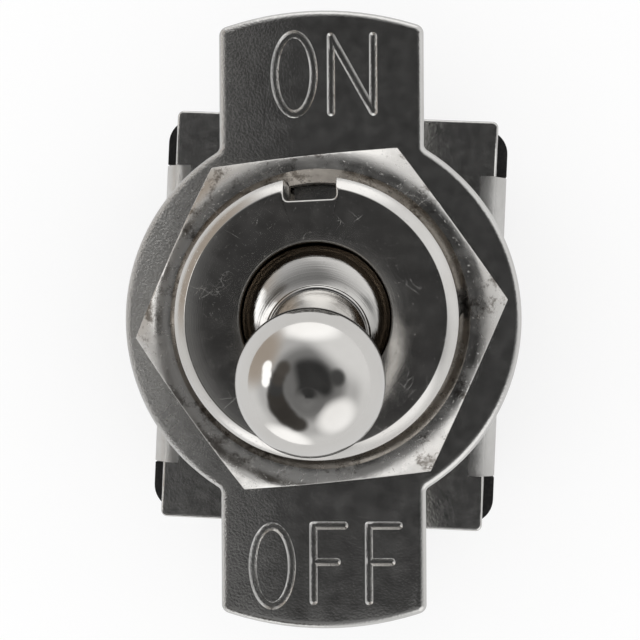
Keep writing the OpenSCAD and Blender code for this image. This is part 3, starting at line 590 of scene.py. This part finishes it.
def stamp(outline, levels=((0.02, 0.024), (-STROKE_DEPTH, -0.12))):
    """A punch that is wider at the top: outline(bm, height, extra width) draws it at each level."""
    bm = bmesh.new()
    loops = [outline(bm, z, extra) for z, extra in levels]
    for upper, lower in zip(loops, loops[1:]):
        bmesh.ops.bridge_loops(bm, edges=upper + lower)
    for loop in (loops[0], loops[-1]):
        bmesh.ops.contextual_create(bm, geom=loop)
    bmesh.ops.recalc_face_normals(bm, faces=bm.faces[:])
    bmesh.ops.translate(bm, verts=bm.verts[:], vec=(0, 0, PLATE_TOP * MM))
    return bm


def edges_of(verts):
    """The edges that meet at any of the vertices."""
    return list({e for v in verts for e in v.link_edges})


def straight(x1, y1, x2, y2):
    """A punch for a straight stroke with round ends."""
    along = Vector((x2 - x1, y2 - y1))

    def capsule(bm, z, extra):
        made = bmesh.ops.create_circle(bm, segments=32, radius=(STROKE / 2 + extra) * MM)["verts"]
        right = [v for v in made if v.co.x > 0]
        bmesh.ops.translate(bm, verts=right, vec=(along.length * MM, 0, 0))
        bmesh.ops.rotate(bm, verts=made, cent=(0, 0, 0),
                         matrix=Matrix.Rotation(math.atan2(along.y, along.x), 3, "Z"))
        bmesh.ops.translate(bm, verts=made, vec=(x1 * MM, y1 * MM, z * MM))
        return edges_of(made)
    return stamp(capsule)


def oval(x, y, width, height):
    """A punch for the letter O, left solid in the middle."""
    def ellipse(inset):
        def loop(bm, z, extra):
            made = bmesh.ops.create_circle(bm, segments=72, radius=MM)["verts"]
            bmesh.ops.scale(bm, verts=made, vec=(width / 2 - inset + extra, height / 2 - inset + extra, 1))
            bmesh.ops.translate(bm, verts=made, vec=(x * MM, y * MM, z * MM))
            return edges_of(made)
        return loop
    island = stamp(ellipse(STROKE), ((0.03, -0.036), (-STROKE_DEPTH - 0.01, 0.132)))
    return carve(stamp(ellipse(0)), island)


def letter_n(left, right, foot, top):
    """Punches for an N: two stems, and the slant between them."""
    return [straight(left, foot, left, top), straight(right, foot, right, top),
            straight(left + 0.02, top - 0.02, right - 0.02, foot + 0.02)]


def letter_f(stem, foot, top, waist, arm, short_arm):
    """Punches for an F: its stem, and the two arms that reach out from it."""
    return [straight(stem, foot, stem, top), straight(stem + 0.02, top - 0.005, stem + arm, top - 0.005),
            straight(stem + 0.07, waist, stem + short_arm, waist)]


plate = bar(END_R, PLATE_T, (0, 0, PLATE_MID), sides=144)
plate = carve(plate, block((END_W, 40, 3), (0, 0, PLATE_MID)), "INTERSECT")
plate = carve(plate, bar(MID_R, PLATE_T, (0, 0, PLATE_MID), sides=144), "UNION")
bmesh.ops.dissolve_limit(plate, angle_limit=math.radians(0.2), verts=plate.verts[:], edges=plate.edges[:])
# the outline's corners: those of the two ends, then the four where they meet the middle
soften(plate, 0.28, 6, 25, lambda e: abs(middle(e).y) > 12 and abs(middle(e).z - PLATE_MID) < 0.1)
soften(plate, 0.17, 6, 25, lambda e: abs(middle(e).y) < 12 and abs(middle(e).z - PLATE_MID) < 0.1)
# the flat faces are split across the letters and the hole, so that none is cut into a ring
for y in (11.2, 0.07, -11.3):
    bmesh.ops.bisect_plane(plate, geom=plate.verts[:] + plate.edges[:] + plate.faces[:],
                           plane_co=(0, y * MM, 0), plane_no=(0, 1, 0))
plate = carve(plate, bar(PLATE_HOLE_R, 3, (0, 0, PLATE_MID), sides=192))
key = block((KEYWAY_W - 0.24, 1.55, PLATE_T), (0, 5.845, PLATE_MID))
key.transform(Matrix.Rotation(BUSHING_TURN - PLATE_TURN, 4, "Z"))
plate = carve(plate, key, "UNION")
on_letters = [oval(-1.20, 10.97, 2.12, 3.93)] + letter_n(0.45, 2.34, 9.25, 12.63)
off_letters = ([oval(-2.29, -11.04, 2.12, 3.9)] + letter_f(-0.44, -12.59, -9.22, -10.85, 1.38, 1.04)
               + letter_f(2.04, -12.59, -9.22, -10.85, 1.33, 1.0))
for letter in on_letters + off_letters:
    plate = carve(plate, letter)
# the upper edge is drawn over by the blanking die, the lower one only loses its burr
soften(plate, 0.38, 6, 70, lambda e: middle(e).z > PLATE_TOP - 0.01 and middle(e).xy.length > 7, False)
soften(plate, 0.05, 2, 60, lambda e: middle(e).z < PLATE_TOP - PLATE_T + 0.01, False)
# at its true size the plate is too small for its faces to be cut into clean triangles
bmesh.ops.scale(plate, verts=plate.verts[:], vec=(1000, 1000, 1000))
bmesh.ops.triangulate(plate, faces=[f for f in plate.faces if len(f.verts) > 4])
bmesh.ops.scale(plate, verts=plate.verts[:], vec=(MM, MM, MM))
plate.transform(Matrix.Rotation(PLATE_TURN, 4, "Z"))
plate_nickel, tree, skin = material("plate_nickel", Metallic=1.0)
where = object_place(tree)
tint(tree, skin, mottle(tree, where, 3.0), (0.78, 0.77, 0.75), (0.68, 0.67, 0.65))
# the sheet's grain and a duller polish come up towards the left edge
side = add(tree, "ShaderNodeSeparateXYZ", {"Vector": where}).node.outputs["X"]
worn = spread(tree, side, 0.0, 0.18, -4.5 * MM, -7.5 * MM)
polish = spread(tree, mottle(tree, where, 0.7), 0.1, 0.2)
tree.links.new(maths(tree, "ADD", worn, polish), skin.inputs["Roughness"])
grain = spread(tree, side, 0.15, 1.0, -1 * MM, -8 * MM)
peel = bump(tree, mottle(tree, where, 0.11, 4.0), 0.075, grain)
tree.links.new(peel, skin.inputs["Normal"])
finished("marked_plate", plate, "base", plate_nickel, "plate_nickel", "indicator_plate", sharp=28)

# --------------------------------------------------------------- contacts
# Inside the case: a copper arm with a silver contact rocks on a brass fulcrum, against a silver contact that
# is riveted to a folded brass bracket.


def brushed(name, bright, dull, rough, size):
    """Bare rolled metal: a tone that drifts, fine rolling lines and a little tarnish."""
    made, tree, skin = material(name, Metallic=1.0)
    where = object_place(tree)
    drift = mottle(tree, where, size, 5.0, 0.6)
    tint(tree, skin, drift, bright, dull)
    gloss(tree, skin, mottle(tree, where, size / 3), *rough)
    lines = mottle(tree, where, 0.1, 3.0, stretch=(1, 0.08, 1))
    tree.links.new(bump(tree, lines, 0.0012), skin.inputs["Normal"])
    return made


copper = brushed("arm_copper", (0.72, 0.38, 0.26), (0.50, 0.25, 0.16), (0.25, 0.42), 1.4)
silver = brushed("contact_silver", (0.88, 0.87, 0.84), (0.72, 0.70, 0.66), (0.2, 0.34), 0.8)
brass = brushed("bracket_brass", (0.74, 0.57, 0.27), (0.58, 0.42, 0.18), (0.25, 0.4), 1.6)
for name, node, body, finish, slot, width in (
        ("rocking_arm", "contact_arm", "contact_arm", copper, "arm_copper", 0.05),
        ("arm_contact", "moving_contact", "contact_arm", silver, "contact_silver", 0.03),
        ("bracket_contact", "fixed_contact", "base", silver, "contact_silver", 0.03),
        ("fulcrum", "fulcrum_bracket", "base", brass, "bracket_brass", 0.06),
        ("folded_bracket", "contact_bracket", "base", brass, "bracket_brass", 0.06)):
    finished(name, from_node(node, width, 2, 40), body, finish, slot, node)

# -------------------------------------------------------------- terminals
# Brass plates on the case's rear, each riveted through to its bracket, with a slotted steel screw for the
# wire. All are stamped or headed and then tumbled, so their edges are slightly round.

terminal_brass = brushed("terminal_brass", (0.76, 0.60, 0.30), (0.60, 0.44, 0.20), (0.2, 0.36), 2.0)
rivet_brass = brushed("rivet_brass", (0.70, 0.56, 0.30), (0.54, 0.40, 0.20), (0.28, 0.42), 0.9)
screw_steel = brushed("screw_steel", (0.68, 0.68, 0.67), (0.52, 0.52, 0.51), (0.18, 0.32), 1.2)
for end in ("common", "load"):
    finished(f"{end}_plate", from_node(f"terminal_{end}", 0.1, 3, 40), "base", terminal_brass,
             "terminal_brass", f"terminal_{end}")
    finished(f"{end}_rivet", from_node(f"rivet_{end}", 0.05, 2, 40), "base", rivet_brass, "rivet_brass",
             f"rivet_{end}")
    finished(f"{end}_screw", from_node(f"screw_{end}", 0.08, 3, 40), "base", screw_steel, "screw_steel",
             f"screw_{end}")

# ------------------------------------------------------- floor and lights
# A plain white table inside a white light tent, which is open overhead for the camera, so that flat faces
# mirror the dark opening and every edge mirrors the tent.

TABLE_R, TABLE_GAP = 0.13, 0.0001
table_top = bmesh.new()
bmesh.ops.create_circle(table_top, cap_ends=True, segments=64, radius=TABLE_R)
bmesh.ops.translate(table_top, verts=table_top.verts[:], vec=(0, 0, cad_low.z - TABLE_GAP))
floor_mesh = bpy.data.meshes.new("floor")
table_top.to_mesh(floor_mesh)
table_top.free()
floor = bpy.data.objects.new("floor", floor_mesh)
bpy.context.scene.collection.objects.link(floor)
white = bpy.data.materials.new("white_paper")
white.use_nodes = True
tree = white.node_tree
tree.nodes.clear()
rays = tree.nodes.new("ShaderNodeLightPath")
# the paper glows a little to the camera and less in the plating, so that it stays white under the part
shown = maths(tree, "MULTIPLY", rays.outputs["Is Camera Ray"], 0.66)
glow = maths(tree, "MULTIPLY_ADD", rays.outputs["Is Glossy Ray"], 0.36, shown)
paper = add(tree, "ShaderNodeBsdfDiffuse", {"Color": (0.36, 0.36, 0.36, 1)})
lit = add(tree, "ShaderNodeEmission", {"Color": (1, 1, 1, 1), "Strength": glow})
both = add(tree, "ShaderNodeAddShader", {0: paper, 1: lit})
add(tree, "ShaderNodeOutputMaterial", {"Surface": both})
floor_mesh.materials.append(white)

world = bpy.data.worlds.new("tent")
bpy.context.scene.world = world
world.use_nodes = True
tree = world.node_tree
tree.nodes.clear()
rays = tree.nodes.new("ShaderNodeLightPath")
sky = tree.nodes.new("ShaderNodeTexCoord").outputs["Generated"]


def grey(level, warmth=0.0):
    """A grey of that level, drawn towards brown by warmth."""
    return level * (1 + warmth), level, level * (1 - warmth)


def patch(below, around, above, inner, outer, colour):
    """Brings the tent to a colour inside a soft round patch at that bearing and height, all in degrees."""
    turn, lift = math.radians(around), math.radians(above)
    centre = (math.cos(turn) * math.cos(lift), math.sin(turn) * math.cos(lift), math.sin(lift))
    aim = add(tree, "ShaderNodeVectorMath", {0: sky, 1: centre}, operation="DOT_PRODUCT").node
    ramp = {"Value": aim.outputs["Value"], "From Min": math.cos(math.radians(outer)),
            "From Max": math.cos(math.radians(inner))}
    inside = add(tree, "ShaderNodeMapRange", ramp, interpolation_type="SMOOTHSTEP")
    return mix(tree, inside, below, colour)


OPENING = grey(0.031)
WALLS = (
    # the tent's sides, dimmer towards the opening and brighter towards the table
    (270, 0, 64, 80, grey(0.17)), (192, 0, 66, 81.5, grey(0.17)), (0, -90, 134, 150, grey(0.2)),
    (0, -90, 112, 134, grey(0.5)), (0, -90, 84, 106, grey(0.72)))
LAMPS = (
    # bright cloth in front of the lamps, and one brownish fold of it
    (50, -10, 32, 64, grey(0.8)), (312, 20, 14, 33, grey(1.1)), (92, -8, 16, 36, grey(1.25)),
    (250, -12, 12, 27, grey(1.25)), (155, -4, 16, 40, grey(0.36, 0.14)))
RIM = (
    # the dark rim of the opening, where it hangs lowest
    (256, 24, 9, 17, grey(0.045, 0.1)), (238, 28, 12, 20, grey(0.038, 0.1)),
    (221, 31, 13, 21, grey(0.035, 0.1)), (205, 35, 11, 18, grey(0.04, 0.1)), (189, 39, 9, 16, grey(0.045)),
    (171, 43, 7, 15, grey(0.06, 0.1)), (152, 45, 6, 15, grey(0.07, 0.1)), (14, 44, 7, 16, grey(0.06)))
WINDOW = (
    # a bare lamp, seen through a gap
    (162, 19, 7, 9.5, grey(1.35)), (171, 22, 7, 9.5, grey(1.35)), (180, 22, 6, 8.5, grey(1.35)))
tent = tree.nodes.new("ShaderNodeRGB").outputs[0]
tent.default_value = (*OPENING, 1)
for spot in WALLS + LAMPS + RIM + WINDOW:
    tent = patch(tent, *spot)
# the patches are there for the plating to mirror; all other light from the tent is even and white
shine = mix(tree, rays.outputs["Is Glossy Ray"], (1, 1, 1), tent)
even_light = add(tree, "ShaderNodeBackground", {"Color": shine, "Strength": 1.0})
add(tree, "ShaderNodeOutputWorld", {"Surface": even_light})

# the camera looks down the bushing, from just beside its axis
camera = bpy.data.cameras.new("camera")
camera.lens = 95.16
camera.sensor_width = 36
camera.clip_start = 0.005
camera.clip_end = 5
camera_object = bpy.data.objects.new("camera", camera)
camera_object.location = (3.92 * MM, -0.3 * MM, 81.9 * MM)
camera_object.rotation_euler = [math.radians(angle) for angle in (0.32, 3.03, 2.41)]
bpy.context.scene.collection.objects.link(camera_object)
bpy.context.scene.camera = camera_object
bpy.context.scene.view_settings.view_transform = "Standard"
